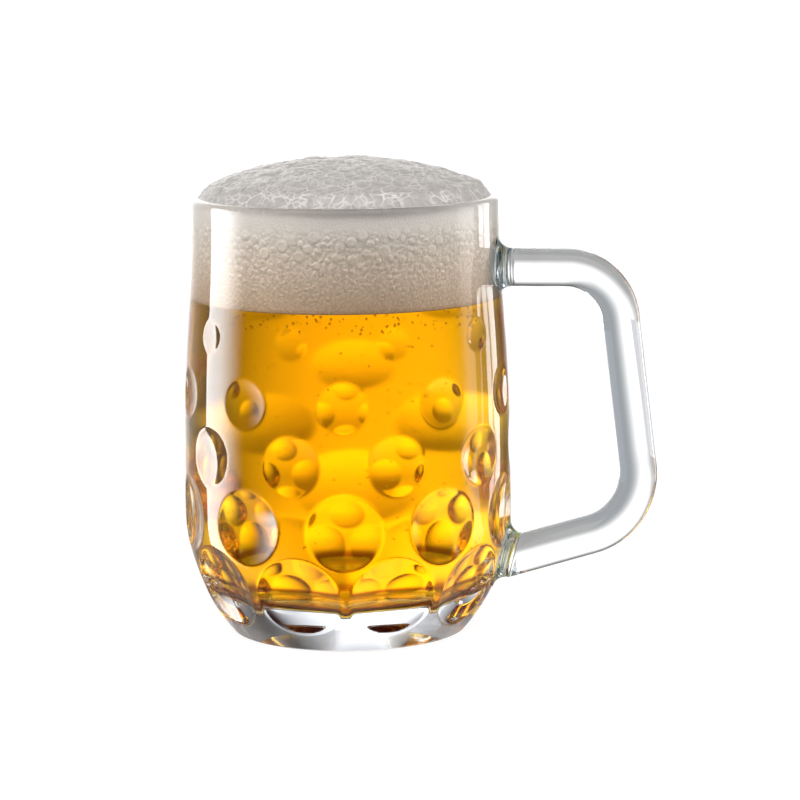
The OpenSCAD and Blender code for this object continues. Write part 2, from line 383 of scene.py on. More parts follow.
def seams():
    """Centre and tilt of the seams of the upper and the lower pad."""
    upper = np.array([outer_radius(UPPER_RUN) + UPPER_PAD_LENGTH, 0, UPPER_RUN])
    tilt = -math.asin((HEEL_HEIGHT - LOWER_PAD_HEIGHT) / HEEL_RADIUS)
    lower = np.array([outer_radius(LOWER_PAD_HEIGHT), 0, LOWER_PAD_HEIGHT])
    return (upper, 0.0), (lower + LOWER_PAD_LENGTH * outward(tilt), tilt)


def rod_line():
    """Centre line of the rod from the upper seam to the lower seam, as points of x and z."""
    (upper, _), (lower, _) = seams()
    low_corner_height = lower[2] + (LOWER_CORNER - lower[0]) * math.tan(LOWER_SLOPE)
    corners = np.array([
        upper[[0, 2]],
        (UPPER_CORNER, UPPER_RUN),
        (LOWER_CORNER, low_corner_height),
        lower[[0, 2]],
    ])
    points = [corners[0]]
    for i, radius in enumerate((UPPER_BEND, LOWER_BEND), start=1):
        before = corners[i] - corners[i - 1]
        after = corners[i + 1] - corners[i]
        start = math.atan2(before[1], before[0])
        sweep = (start - math.atan2(after[1], after[0])) % FULL_TURN
        reach = radius * math.tan(sweep / 2)
        entry = corners[i] - reach * before / np.linalg.norm(before)
        centre = entry + radius * np.array([math.sin(start), -math.cos(start)])
        for a in np.linspace(start + math.pi / 2, start + math.pi / 2 - sweep, BEND_POINTS):
            points.append(centre + radius * np.array([math.cos(a), math.sin(a)]))
    points.append(corners[-1])
    return np.array(points)


def spaced(points, step):
    """The same line with points about one step apart, and the length up to each."""
    lengths = np.concatenate([[0], np.cumsum(np.linalg.norm(np.diff(points, axis=0), axis=1))])
    even = np.linspace(0, lengths[-1], int(lengths[-1] / step) + 1)
    return np.stack([np.interp(even, lengths, points[:, i]) for i in range(2)], axis=-1), even


def rod_rings(centre, way, radius):
    """Rings of points square to the centre line of the rod."""
    rounds = turn(ROD_SEGMENTS)
    side = np.stack([-way[:, 1], way[:, 0]], axis=-1)
    return np.stack([
        centre[:, :1] + radius * side[:, :1] * np.cos(rounds),
        radius * np.sin(rounds) + 0 * side[:, :1],
        centre[:, 1:] + radius * side[:, 1:] * np.cos(rounds),
    ], axis=-1)


def make_handle(material):
    """Bent rod of the handle, cut along the seam of the lower pad."""
    centre, place = spaced(rod_line(), ROD_STEP)
    way = np.gradient(centre, axis=0)
    way /= np.linalg.norm(way, axis=1)[:, None]
    radius = ROD_RADIUS * np.interp(place / place[-1], ROD_PLACE_SHARES, ROD_RADIUS_SHARES)
    rings = rod_rings(centre, way, radius[:, None])
    (upper, _), (lower, tilt) = seams()
    rings[0, :, 0] -= FUSED
    seam_way = outward(tilt)
    rod_way = np.array([way[-1, 0], 0, way[-1, 1]])
    slide = ((lower - rings[-1]) @ seam_way - FUSED) / (rod_way @ seam_way)
    share = np.maximum(0, 1 - (place[-1] - place) / SLANT_LENGTH)
    rings += share[:, None, None] * slide[:, None] * rod_way
    points, faces = closed_tube(rings[:, ::-1], upper - FUSED * outward(0), lower - FUSED * seam_way)
    return link_mesh("glass_handle", points, faces, material, flat=2 * ROD_SEGMENTS)


def farthest(holds, limit):
    """Largest distance up to a limit at which a test still holds, found by halving."""
    low, high = 0.0, limit
    for _ in range(HALVINGS):
        middle = (low + high) / 2
        low, high = (middle, high) if holds(middle) else (low, middle)
    return low


def make_pad(name, seam, tilt, end_radius, material):
    """Gob of glass between the body and the rod, with a hollow flare where it meets the body."""
    axis = outward(tilt)
    up = np.array([-math.sin(tilt), 0, math.cos(tilt)])
    level = np.array([0.0, 1.0, 0.0])
    rounds = turn(ROD_SEGMENTS)

    def ring_point(back, angle):
        radius = end_radius + PAD_FLARE - math.sqrt(max(PAD_FLARE**2 - back**2, 0))
        return seam - back * axis + radius * (math.cos(angle) * up + math.sin(angle) * level)

    def outside(back, angle):
        x, y, z = ring_point(back, angle)
        return math.hypot(x, y) - outer_radius(z) + PAD_SUNK > 0

    reach = [farthest(lambda back: outside(back, angle), PAD_FLARE) for angle in rounds]
    rings = np.array([
        [ring_point(back * i / PAD_ROWS, angle) for back, angle in zip(reach, rounds)]
        for i in range(PAD_ROWS + 1)
    ])
    rings[0] += FUSED * axis
    root = seam - (max(reach) + PAD_ROOT) * axis
    points, faces = closed_tube(rings, seam + FUSED * axis, root)
    return link_mesh(name, points, faces, material, flat=2 * ROD_SEGMENTS)


# Beer

# Painted shade on the beer in the corner of the floor: least distance from the axis, and heights above the
# floor
CORNER_SHADE_START = 25.0
CORNER_SHADE_HEIGHTS = (0.8, 1.2, 3.0, 4.5)
# Points of the bore's outline less than this below the beer's level are left out of the beer
LEVEL_GAP = 1
# Gas bubbles, loose, near the glass and crowded below the foam:
# number, radii, shares of the area from the axis out, depths below the beer's level
LOOSE_DEPTHS = (2, BEER_LEVEL - FLOOR - FLOOR_CORNER)
GAS_BUBBLES = (
    (240, (0.12, 0.34), (0.3, 1.0), LOOSE_DEPTHS),
    (170, (0.12, 0.30), (0.94, 1.0), LOOSE_DEPTHS),
    (260, (0.14, 0.42), (0.75, 1.0), (0.5, 6.5)),
)
# Least distance of the middle of a gas bubble from the glass
BUBBLE_GAP = 1
BUBBLE_ROWS, BUBBLE_COLUMNS = 6, 10


def make_beer(material):
    """Beer with gas bubbles, which are small hollows in its mesh."""
    outline, _ = bore_outline(WETTING)
    outline = outline[outline[:, 1] < BEER_LEVEL - LEVEL_GAP]
    edge = BORE_RADIUS + WETTING
    top = [(radius, BEER_LEVEL) for radius in (EYE_RADIUS, BORE_RADIUS, edge)]
    outline = np.vstack([top, [(edge, BEER_LEVEL - WETTING)], outline])
    rings = around(outline[:, 0], outline[:, 1], turn(BEER_SEGMENTS))
    points, faces = closed_tube(rings[::-1], (0, 0, FLOOR - WETTING), (0, 0, BEER_LEVEL))
    ball, ball_faces = small_ball()
    for place, radius in gas_bubbles():
        offset = len(points)
        points = np.vstack([points, place + radius * ball])
        faces += [tuple(offset + i for i in reversed(f)) for f in ball_faces]
    beer = link_mesh("beer_fill", points, faces, material)
    # Painted shade: a dark band of the beer low in the corner of the floor
    corner = slopes(points[:, 2] - FLOOR, CORNER_SHADE_HEIGHTS)
    add_layer(beer, "corner", corner * (np.hypot(points[:, 0], points[:, 1]) > CORNER_SHADE_START))
    return beer


def slopes(values, edges):
    """Rise from zero to one between the first two edges, and fall between the last two."""
    return np.interp(values, edges, (0, 1, 1, 0))


def small_ball():
    """Points and faces of a small ball of radius one."""
    tilt = np.linspace(-math.pi / 2, math.pi / 2, BUBBLE_ROWS + 2)[1:-1]
    rings = around(np.cos(tilt), np.sin(tilt), turn(BUBBLE_COLUMNS))
    return closed_tube(rings, (0, 0, -1), (0, 0, 1))


def gas_bubbles():
    """Places and radii of the gas bubbles."""
    found = []
    for count, radii, spread, depths in GAS_BUBBLES:
        for _ in range(count):
            radius = rng.uniform(*radii)
            r = (BORE_RADIUS - BUBBLE_GAP) * math.sqrt(rng.uniform(*spread))
            a = rng.uniform(0, FULL_TURN)
            z = BEER_LEVEL - rng.uniform(*depths)
            found.append((np.array([r * math.cos(a), r * math.sin(a), z]), radius))
    return found


# Foam

# A packed bubble wants at least this share of the largest radius, and fits with this share of that
SMALLEST_SHARE = 0.6
FREE_SHARE = 0.5
# A distance larger than any bubble, and how far round a bubble its border is measured
FAR = 9.0
BORDER_REACH = 2
# Length of a surface that doesn't close on itself
ENDLESS = 1e9


def pack_bubbles(sizes, pick, round_length=ENDLESS):
    """Bubbles that touch each other on a surface, large ones first: two coordinates and a radius each."""
    packed = np.zeros((sum(tries for _, tries in sizes), 3))
    count = 0
    for largest, tries in sizes:
        for _ in range(tries):
            u, v, limit = pick()
            wanted = min(largest, limit) * rng.uniform(SMALLEST_SHARE, 1.0)
            others = packed[:count]
            gap = np.abs(others[:, 0] - u)
            gap = np.minimum(gap, round_length - gap)
            free = np.min(np.hypot(gap, others[:, 1] - v) - others[:, 2], initial=wanted)
            if free > FREE_SHARE * wanted:
                packed[count] = u, v, free
                count += 1
    return packed[:count]


def bubble_field(u, v, bubbles):
    """Caps of the bubbles over a surface as shares and as heights, and the way to the next border."""
    share, height = np.zeros(u.shape), np.zeros(u.shape)
    near, second = np.full(u.shape, FAR), np.full(u.shape, FAR)
    for cu, cv, radius in bubbles:
        reach = radius + BORDER_REACH
        window = np.nonzero((np.abs(u - cu) < reach) & (np.abs(v - cv) < reach))
        away = np.hypot(u[window] - cu, v[window] - cv)
        cap = np.sqrt(np.maximum(1 - (away / radius) ** 2, 0))
        share[window] = np.maximum(share[window], cap)
        height[window] = np.maximum(height[window], radius * cap)
        old = near[window]
        second[window] = np.minimum(second[window], np.maximum(old, away - radius))
        near[window] = np.minimum(old, away - radius)
    return share, height, second - near


def waves(u, v, lengths, count):
    """Smooth random waves over a surface, about one high."""
    total = np.zeros(u.shape)
    for _ in range(count):
        a, phase = rng.uniform(0, FULL_TURN, 2)
        k = FULL_TURN / rng.uniform(*lengths)
        total += np.sin(k * (u * math.cos(a) + v * math.sin(a)) + phase)
    return total / math.sqrt(count)


# Side of the foam, against the glass

SIDE_STEP = 0.3
SIDE_LOW = BEER_LEVEL - FUSED
# Largest bubbles at shares of the height from the beer to the rim, and tries for each size
SIDE_PLACE_SHARES = (0, 0.15, 0.35, 0.5, 0.7, 1)
SIDE_LARGEST = (0.38, 0.5, 0.75, 1.3, 2.2, 1.3)
SIDE_BUBBLES = ((2.2, 200), (1.5, 900), (1.0, 3000), (0.6, 16000))
# Bubbles this near to the start of the round are repeated past its end, and the other way about
REPEAT_REACH = 3
# Height of the smooth band below the rim, and again of the fade below it
SMOOTH_BAND = 3.5
# A bubble swells into the glass by this share of its height, counted up to a highest one
SWELL_SHARE = 0.36
SWELL_HIGHEST = 1
# Turns of the rows that follow the inner side of the lip
LIP_TURNS = (0.15, 1.2)
LIP_ROWS = 6
# Paleness of the froth: smooth foam, a painted highlight round the edges of the bubbles, painted shade
# between them, and at the lip
SMOOTH_FROTH = 0.5
EDGE_HIGHLIGHT_FROTH = 0.5
GAP_SHADE_FROTH = 0.15
LIP_FROTH = 0.8
# Share of a bubble's cap at which its painted highlight lies, width of that highlight, and share below which
# the gaps with painted shade lie
EDGE_SHARE, EDGE_WIDTH_SHARE = 0.45, 0.2
GAP_SHARE = 0.05


def side_bubbles(length):
    """Packed bubbles of the foam's side, finer towards the beer, round a given length."""
    tall = LIP_HEIGHT - SIDE_LOW

    def pick():
        share = rng.uniform(0, 1)
        largest = np.interp(share, SIDE_PLACE_SHARES, SIDE_LARGEST)
        return rng.uniform(0, length), SIDE_LOW + share * tall, largest

    bubbles = pack_bubbles(SIDE_BUBBLES, pick, length)
    copies = np.vstack([bubbles - (length, 0, 0), bubbles, bubbles + (length, 0, 0)])
    return copies[(copies[:, 0] > -REPEAT_REACH) & (copies[:, 0] < length + REPEAT_REACH)]


def make_foam_side(material):
    """Foam against the glass: packed bubbles, and a smooth band below the rim."""
    length = FULL_TURN * BORE_RADIUS
    angles = turn(int(length / SIDE_STEP))
    heights = np.linspace(SIDE_LOW, LIP_HEIGHT, int((LIP_HEIGHT - SIDE_LOW) / SIDE_STEP))
    u, z = np.meshgrid(angles * BORE_RADIUS, heights)
    share, height, _ = bubble_field(u, z, side_bubbles(length))
    below_band = np.clip((LIP_HEIGHT - z - SMOOTH_BAND) / SMOOTH_BAND, 0, 1)
    swell = SWELL_SHARE * below_band * np.minimum(height, SWELL_HIGHEST)
    swell[0] = 0
    radius = BORE_RADIUS + WETTING + swell
    wall = np.stack([radius * np.cos(angles), radius * np.sin(angles), z], axis=-1)
    turns = np.linspace(*LIP_TURNS, LIP_ROWS)
    reach = LIP_RADIUS - WETTING
    lip = around(LIP_MIDDLE - reach * np.cos(turns), LIP_HEIGHT + reach * np.sin(turns), angles)
    points, faces = closed_tube(np.concatenate([wall, lip]), (0, 0, SIDE_LOW), (0, 0, BODY_HEIGHT))
    foam = link_mesh("foam_side", points, faces, material, flat=2 * len(angles))
    # Painted highlight round the edge of each bubble, and painted shade in the gaps between bubbles
    edge = np.exp(-(((share - EDGE_SHARE) / EDGE_WIDTH_SHARE) ** 2))
    froth = SMOOTH_FROTH + below_band * (EDGE_HIGHLIGHT_FROTH * edge - GAP_SHADE_FROTH * (share < GAP_SHARE))
    rest = np.full(len(points) - froth.size, LIP_FROTH)
    add_layer(foam, "froth", np.concatenate([froth.ravel(), rest]))
    return foam


# Dome of the foam, above the rim

DOME_STEP = 0.31
DOME_POINTS = 400
# Radius of the dome's edge and of the shoulder inside it
DOME_EDGE = 44.4
SHOULDER = 40.0
# Share of the dome's height lost at the shoulder, power of the fall past it, and depth of the edge
SHOULDER_DROP_SHARE = 0.62
SHOULDER_POWER = 1.7
DOME_EDGE_DEPTH = 0.4
# Depth of the point below the rim that closes the dome
DOME_ROOT = 1
# Lumps: height, wave lengths and number of waves
LUMPS = (
    (0.35, (10, 24), 9),
    (0.12, (3, 7), 12),
)
# Layers of bubbles: sizes with tries, share of the rise, width of the films and their strength
DOME_LAYERS = (
    (((6.0, 60), (4.0, 200), (2.4, 900), (1.3, 1500)), 0.34, 0.36, 1.0),
    (((2.0, 500), (1.1, 3000)), 0.22, 0.30, 0.6),
)
BUBBLE_RISE_POWER = 0.6
FILM_RISE = 0.32
# Waves that bend the bubbles out of round, and waves that thin the films about a middle share
BENDING_WAVES = ((5, 14), 8)
THINNING_WAVES = ((5, 15), 8)
FILM_SHARE, FILM_CHANGE_SHARE = 0.6, 0.5
# Widths inside the edge over which the lumps and the whole relief fade in
LUMP_FADE = 9
RELIEF_FADE = 1.5
# The relief is flattened to a share, and then lies this much below the smooth dome
RELIEF_SHARE = 0.6
RELIEF_DROP = 0.6
# Paleness of the froth: painted shade on the bubbles, painted highlights of the films above that, and the
# point below
BUBBLE_SHADE_FROTH, FILM_HIGHLIGHT_FROTH, ROOT_FROTH = 0.1, 0.9, 0.5
# Keeps a division off zero at the middle of the dome
NEARLY_ZERO = 1e-9


def disc_grid(count):
    """Square grid of points bent to fill a disc of radius one."""
    a, b = np.meshgrid(np.linspace(-1, 1, count), np.linspace(-1, 1, count))
    return a * np.sqrt(1 - b**2 / 2), b * np.sqrt(1 - a**2 / 2)


def dome_outline():
    """Smooth dome of foam from its top to its edge: radius, height, way along it and slope."""
    r = np.linspace(0, DOME_EDGE, DOME_POINTS)
    cap = BODY_HEIGHT + (FOAM_TOP - BODY_HEIGHT) * (1 - SHOULDER_DROP_SHARE * (r / SHOULDER) ** 2)
    edge = BODY_HEIGHT - DOME_EDGE_DEPTH
    past = np.clip((r - SHOULDER) / (DOME_EDGE - SHOULDER), 0, 1)
    z = edge + (cap - edge) * (1 - past**SHOULDER_POWER)
    along = np.concatenate([[0], np.cumsum(np.hypot(np.diff(r), np.diff(z)))])
    return r, z, along, np.gradient(z, r)


def dome_froth(u, v, inset, reach):
    """Relief of the froth over the dome, and the painted highlights of its films: lumps under layers of
    crowded bubbles.
    """

    def pick():
        way = reach * math.sqrt(rng.uniform(0, 1))
        turned = rng.uniform(0, FULL_TURN)
        return way * math.cos(turned), way * math.sin(turned), FAR

    inner = np.clip(inset / LUMP_FADE, 0, 1)
    relief, films = np.zeros_like(u), np.zeros_like(u)
    for rise, lengths, count in LUMPS:
        relief += rise * inner * waves(u, v, lengths, count)
    for sizes, rise, width, strength in DOME_LAYERS:
        bent_u = u + waves(u, v, *BENDING_WAVES)
        bent_v = v + waves(u, v, *BENDING_WAVES)
        _, height, border = bubble_field(bent_u, bent_v, pack_bubbles(sizes, pick))
        thinned = np.clip(FILM_SHARE + FILM_CHANGE_SHARE * waves(u, v, *THINNING_WAVES), 0, 1)
        film = np.exp(-((border / width) ** 2)) * thinned
        relief += rise * height**BUBBLE_RISE_POWER + FILM_RISE * strength * film
        # Painted highlight along the films, kept for the froth layer
        films = np.maximum(films, strength * film)
    return relief, films


def make_foam_dome(material):
    """Froth above the rim, over a square grid bent to the round dome and closed below."""
    outline_r, outline_z, outline_along, outline_slope = dome_outline()
    reach = outline_along[-1]
    count = int(2 * reach / DOME_STEP)
    a, b = disc_grid(count)
    far = np.hypot(a, b)
    inset = (1 - far) * reach
    relief, films = dome_froth(reach * a, reach * b, inset, reach)
    fade = np.clip(inset / RELIEF_FADE, 0, 1)
    relief = fade * (RELIEF_SHARE * (relief - relief.mean()) - RELIEF_DROP)
    r = np.interp(far * reach, outline_along, outline_r)
    slope = np.interp(r, outline_r, outline_slope)
    lean = np.hypot(1, slope)
    wide = (r - relief * slope / lean) / np.maximum(far, NEARLY_ZERO)
    z = np.interp(r, outline_r, outline_z) + relief / lean
    top = np.stack([wide * a, wide * b, z], axis=-1).reshape(-1, 3)
    points = np.vstack([top, [(0, 0, BODY_HEIGHT - DOME_ROOT)]])
    fan = grid_fan(count, count)
    foam = link_mesh("foam_dome", points, grid_faces(count, count) + fan, material, flat=len(fan))
    # Painted highlights along the films, and painted shade on the bubbles between them
    add_layer(foam, "froth", np.append(BUBBLE_SHADE_FROTH + FILM_HIGHLIGHT_FROTH * films, ROOT_FROTH))
    return foam


# Shader nodes


def new_material(name):
    """A material with its node tree and its shader."""
    material = bpy.data.materials.new(name)
    material.use_nodes = True
    tree = material.node_tree
    return material, tree, tree.nodes["Principled BSDF"]


def add_node(tree, kind, **values):
    """A shader node with some of its inputs set by name."""
    node = tree.nodes.new(kind)
    for name, value in values.items():
        node.inputs[name].default_value = value
    return node


def add_layer_node(tree, name):
    """The numbers that a mesh has in a layer."""
    node = tree.nodes.new("ShaderNodeAttribute")
    node.attribute_name = name
    return node.outputs["Fac"]


def add_ramp(tree, factor, *stops):
    """Colours along a factor, each after its place."""
    ramp = tree.nodes.new("ShaderNodeValToRGB")
    elements = ramp.color_ramp.elements
    while len(elements) < len(stops):
        elements.new(0.5)
    for element, (place, *colour) in zip(elements, stops):
        element.position = place
        element.color = (*colour, 1)
    tree.links.new(factor, ramp.inputs["Fac"])
    return ramp.outputs["Color"]


def mix_colours(tree, blend, factor, first, second):
    """Two colours blended by a factor."""
    node = tree.nodes.new("ShaderNodeMix")
    node.data_type = "RGBA"
    node.blend_type = blend
    if isinstance(factor, float):
        node.inputs["Factor"].default_value = factor
    else:
        tree.links.new(factor, node.inputs["Factor"])
    tree.links.new(first, node.inputs["A"])
    tree.links.new(second, node.inputs["B"])
    return node.outputs["Result"]


def add_math(tree, operation, *values):
    """A maths node with its inputs linked or set."""
    node = tree.nodes.new("ShaderNodeMath")
    node.operation = operation
    for socket, value in zip(node.inputs, values):
        if isinstance(value, (int, float)):
            socket.default_value = value
        else:
            tree.links.new(value, socket)
    return node.outputs[0]


def add_step(tree, value, low, high, kind="SMOOTHSTEP"):
    """Rise from zero at low to one at high, or a fall where high lies below low."""
    node = tree.nodes.new("ShaderNodeMapRange")
    node.interpolation_type = kind
    tree.links.new(value, node.inputs["Value"])
    ends = (low, high, 0, 1) if low < high else (high, low, 1, 0)
    for name, number in zip(("From Min", "From Max", "To Min", "To Max"), ends):
        node.inputs[name].default_value = number
    return node.outputs["Result"]


def add_absorption(tree, colour, density):
    """Colour that light takes on inside the material."""
    node = add_node(tree, "ShaderNodeVolumeAbsorption", Color=(*colour, 1), Density=density)
    tree.links.new(node.outputs["Volume"], tree.nodes["Material Output"].inputs["Volume"])


def add_bump(tree, shader, texture, height, strength, distance):
    """Fine relief by one output of a texture that is fixed to the object."""
    place = tree.nodes.new("ShaderNodeTexCoord")
    bump = add_node(tree, "ShaderNodeBump", Strength=strength, Distance=distance)
    tree.links.new(place.outputs["Object"], texture.inputs["Vector"])
    tree.links.new(texture.outputs[height], bump.inputs["Height"])
    tree.links.new(bump.outputs["Normal"], shader.inputs["Normal"])


# Materials

# Painted shade at the edges of the glass seen aslant: tints that darken it there, none on the body and bluish
# grey on the rod, and how far from facing the viewer they begin
BODY_EDGE_SHADE = (1, 1, 1)
ROD_EDGE_SHADE = (0.50, 0.60, 0.72)
EDGE_SHADE_START = 0.6
# Tint of the thick foot of the glass, and painted shade on the beer in the corner of the floor
FOOT_TINT = (0.74, 0.73, 0.77)
CORNER_SHADE = (0.26, 0.09, 0.02)
# Colours that light takes on in the glass and in the beer, with densities per metre
GLASS_COLOUR, GLASS_DENSITY = (0.80, 0.93, 0.97), 4
BEER_COLOUR, BEER_DENSITY = (0.994, 0.880, 0.10), 100
# Colours of the froth from painted shade on bubbles and in gaps to painted highlights on bubble edges and
# films, against the glass and above the rim
CREAM_STOPS = ((0, 0.60, 0.57, 0.53), (0.5, 0.88, 0.86, 0.84), (1, 1, 1, 1))
WHITE_STOPS = ((0, 0.50, 0.48, 0.46), (0.4, 0.82, 0.80, 0.78), (1, 1, 1, 0.99))
# Tints of the froth from the beer's level up to the lip, darker and more amber towards the beer: partly the
# wetter froth's own colour, partly painted amber light and painted shade
WET_AND_BEER_LIGHT_STOPS = (
    (0, 0.58, 0.36, 0.18),
    (0.05, 0.78, 0.57, 0.39),
    (0.35, 0.91, 0.76, 0.61),
    (0.95, 0.99, 0.97, 0.94),
)
# Height above the rim at which the froth is all white
WHITE_ABOVE = 1


def make_glass(name, edge_shade):
    """Clear glass with faint waves and painted shade at its edges seen aslant, which mirrors little where
    beer wets it.
    """
    material, tree, shader = new_material(name)
    facing = tree.nodes.new("ShaderNodeLayerWeight").outputs["Facing"]
    # Painted shade: the glass seen aslant is darkened towards the edge colour
    edge = add_ramp(tree, facing, (EDGE_SHADE_START, 1, 1, 1), (1, *edge_shade))
    foot = add_ramp(tree, add_layer_node(tree, "thick"), (0, 1, 1, 1), (1, *FOOT_TINT))
    tree.links.new(mix_colours(tree, "MULTIPLY", 1.0, edge, foot), shader.inputs["Base Color"])
    dry = add_math(tree, "SUBTRACT", 1.0, add_layer_node(tree, "wet"))
    tree.links.new(dry, shader.inputs["Specular Tint"])
    shader.inputs["Transmission Weight"].default_value = 1
    shader.inputs["Roughness"].default_value = 0
    shader.inputs["IOR"].default_value = 1.5
    add_absorption(tree, GLASS_COLOUR, GLASS_DENSITY)
    ripples = add_node(tree, "ShaderNodeTexNoise", Scale=70, Detail=2)
    add_bump(tree, shader, ripples, "Fac", strength=0.03, distance=0.002)
    return material


def make_beer_material():
    """Clear golden beer, which mirrors next to nothing because it lies against the glass."""
    material, tree, shader = new_material("golden_beer")
    # Painted shade: the beer darkens to a deep brown in the corner of the floor
    tint = add_ramp(tree, add_layer_node(tree, "corner"), (0, 1, 1, 1), (1, *CORNER_SHADE))
    tree.links.new(tint, shader.inputs["Base Color"])
    shader.inputs["Transmission Weight"].default_value = 1
    shader.inputs["Roughness"].default_value = 0.1
    shader.inputs["IOR"].default_value = 1.34
    shader.inputs["Specular Tint"].default_value = (0, 0, 0, 1)
    add_absorption(tree, BEER_COLOUR, BEER_DENSITY)
    return material


def make_foam_material():
    """Froth: cream against the glass and white above the rim, with painted highlights on films and bubble
    edges, painted shade on bubbles and in gaps, and a darker amber towards the beer.
    """
    material, tree, shader = new_material("white_froth")
    share = add_layer_node(tree, "froth")
    # The froth layer carries painted highlights and painted shade besides the froth's own paleness
    cream = add_ramp(tree, share, *CREAM_STOPS)
    white = add_ramp(tree, share, *WHITE_STOPS)
    place = tree.nodes.new("ShaderNodeTexCoord")
    parts = tree.nodes.new("ShaderNodeSeparateXYZ")
    tree.links.new(place.outputs["Object"], parts.inputs[0])
    rise = add_step(tree, parts.outputs["Z"], BEER_LEVEL * MM, LIP_HEIGHT * MM, "LINEAR")
    above = add_step(tree, parts.outputs["Z"], LIP_HEIGHT * MM, (BODY_HEIGHT + WHITE_ABOVE) * MM)
    # Darker and more amber towards the beer: partly the froth's own colour, partly painted amber light and
    # painted shade
    side = mix_colours(tree, "MULTIPLY", 1.0, cream, add_ramp(tree, rise, *WET_AND_BEER_LIGHT_STOPS))
    tree.links.new(mix_colours(tree, "MIX", above, side, white), shader.inputs["Base Color"])
    shader.inputs["Roughness"].default_value = 0.3
    fine = add_node(tree, "ShaderNodeTexVoronoi", Scale=1900)
    add_bump(tree, shader, fine, "Distance", strength=0.35, distance=0.0003)
    return material


# Studio

# Panels of the sky: middle azimuth, edges aside, edges in height, colour, brightness
PANELS = (
    (189, (-36, 4, 10, 52), (-24, -9, 15, 60), (1.00, 1.00, 1.00), 1.4),
    (189, (-36, 4, 10, 52), (-12, 2, 10, 40), (1.00, 1.00, 1.00), 0.8),
    (189, (-150, -100, 100, 150), (-89, -60, -25, -12), (1.00, 1.00, 1.00), 0.38),
    (189, (-85, -75, -45, -30), (-24, -9, 15, 60), (1.00, 0.98, 0.96), 0.30),
    (189, (30, 45, 75, 85), (-24, -9, 15, 60), (1.00, 0.98, 0.96), 0.28),
    (134, (-1.5, -0.8, 0.8, 1.5), (-22, -14, 8, 25), (1.00, 0.96, 0.93), 1.5),
    (110, (-14, -4, 8, 12), (-22, -14, 8, 25), (1.00, 0.96, 0.93), 1.8),
    (9, (-90, -60, 60, 90), (28, 38, 75, 89), (1.00, 0.96, 0.93), 1.7),
)
DIM_LIGHT = (0.03, 0.03, 0.03)
# Floor, in millimetres: radii of its flat rings, and the bend at its edge with its turns and rows
FLOOR_RADII = (12000, 2000, 500)
FLOOR_BEND = 8000
BEND_TURNS = (1.5, 0.2)
BEND_ROWS = 8
FLOOR_SEGMENTS = 96
# The floor lies this far below the mug
FLOOR_GAP = 0.02
# Lights that reach the foam through the glass: azimuth, elevation, width, height, brightness, colour
FOAM_LIGHTS = (
    (-58, 28, 1.5, 1.5, 4.4, (1.0, 0.99, 0.97)),
    (104, 28, 1.5, 1.5, 5.2, (1.0, 0.99, 0.97)),
    (9, 86, 1.0, 1.0, 7.5, (1.0, 0.99, 0.98)),
)
LIGHT_DISTANCE = 1.6
# Softboxes that the glass mirrors: middle azimuth, edges aside, edges in height, colour, brightness
SOFTBOXES = (
    (-93, (-15, -14, 0, 26), (-28, -20, 8, 25), (1.00, 0.99, 0.98), 10.0),
    (129, (-3.2, -2.8, 2.8, 3.2), (-16, -10, 10, 25), (1.00, 0.98, 0.97), 5.0),
    (139, (-4.7, -4.3, 4.3, 4.7), (-16, -10, 10, 25), (1.00, 0.98, 0.97), 5.0),
)
SOFTBOX_DISTANCE = 3000
SOFTBOX_COLUMNS, SOFTBOX_ROWS = 13, 9
# Cards that show through the glass: two ends seen from above and two heights in millimetres,
# shade at each end, colour, and whether the glass mirrors them too
CARDS = (
    ((50, 115), (200, 60), (-120, 220), (0, 2), (0.36, 0.39, 0.42), False),
    ((72, -8), (72, 30), (46, 90), (1, 1), (0.74, 0.75, 0.77), True),
    ((260, -90), (50, -90), (-20, 160), (1, 1), (0.36, 0.38, 0.40), False),
)


def compass(azimuth, elevation):
    """Direction at an azimuth, measured from -Y towards +X, and an elevation, in degrees."""
    a, e = math.radians(azimuth), math.radians(elevation)
    return Vector((math.sin(a) * math.cos(e), -math.cos(a) * math.cos(e), math.sin(e)))


def sky_angles(tree, azimuth):
    """Azimuth away from a given one and elevation of the sky's directions, in degrees."""
    place = tree.nodes.new("ShaderNodeTexCoord")
    turned = add_node(tree, "ShaderNodeVectorRotate", Angle=-math.radians(azimuth))
    turned.rotation_type = "Z_AXIS"
    tree.links.new(place.outputs["Generated"], turned.inputs["Vector"])
    parts = tree.nodes.new("ShaderNodeSeparateXYZ")
    tree.links.new(turned.outputs["Vector"], parts.inputs[0])
    x, y, z = parts.outputs
    aside = add_math(tree, "ARCTAN2", x, add_math(tree, "MULTIPLY", y, -1.0))
    above = add_math(tree, "ARCSINE", z)
    return add_math(tree, "DEGREES", aside), add_math(tree, "DEGREES", above)


def add_panel(tree, azimuth, sides, heights, strength):
    """Brightness of a soft panel in the sky, which rises and falls between its four edges each way."""
    total = strength
    for angle, edges in zip(sky_angles(tree, azimuth), (sides, heights)):
        total = add_math(tree, "MULTIPLY", add_step(tree, angle, edges[0], edges[1]), total)
        total = add_math(tree, "MULTIPLY", add_step(tree, angle, edges[3], edges[2]), total)
    return total


def make_sky():
    """Dim room with soft panels, each a patch of the sky."""
    world = bpy.data.worlds.new("studio")
    bpy.context.scene.world = world
    world.use_nodes = True
    tree = world.node_tree
    total = tree.nodes["Background"]
    total.inputs["Color"].default_value = (*DIM_LIGHT, 1)
    for azimuth, sides, heights, colour, strength in PANELS:
        panel = add_node(tree, "ShaderNodeBackground", Color=(*colour, 1))
        tree.links.new(add_panel(tree, azimuth, sides, heights, strength), panel.inputs["Strength"])
        both = tree.nodes.new("ShaderNodeAddShader")
        tree.links.new(total.outputs[0], both.inputs[0])
        tree.links.new(panel.outputs[0], both.inputs[1])
        total = both
    tree.links.new(total.outputs[0], tree.nodes["World Output"].inputs["Surface"])


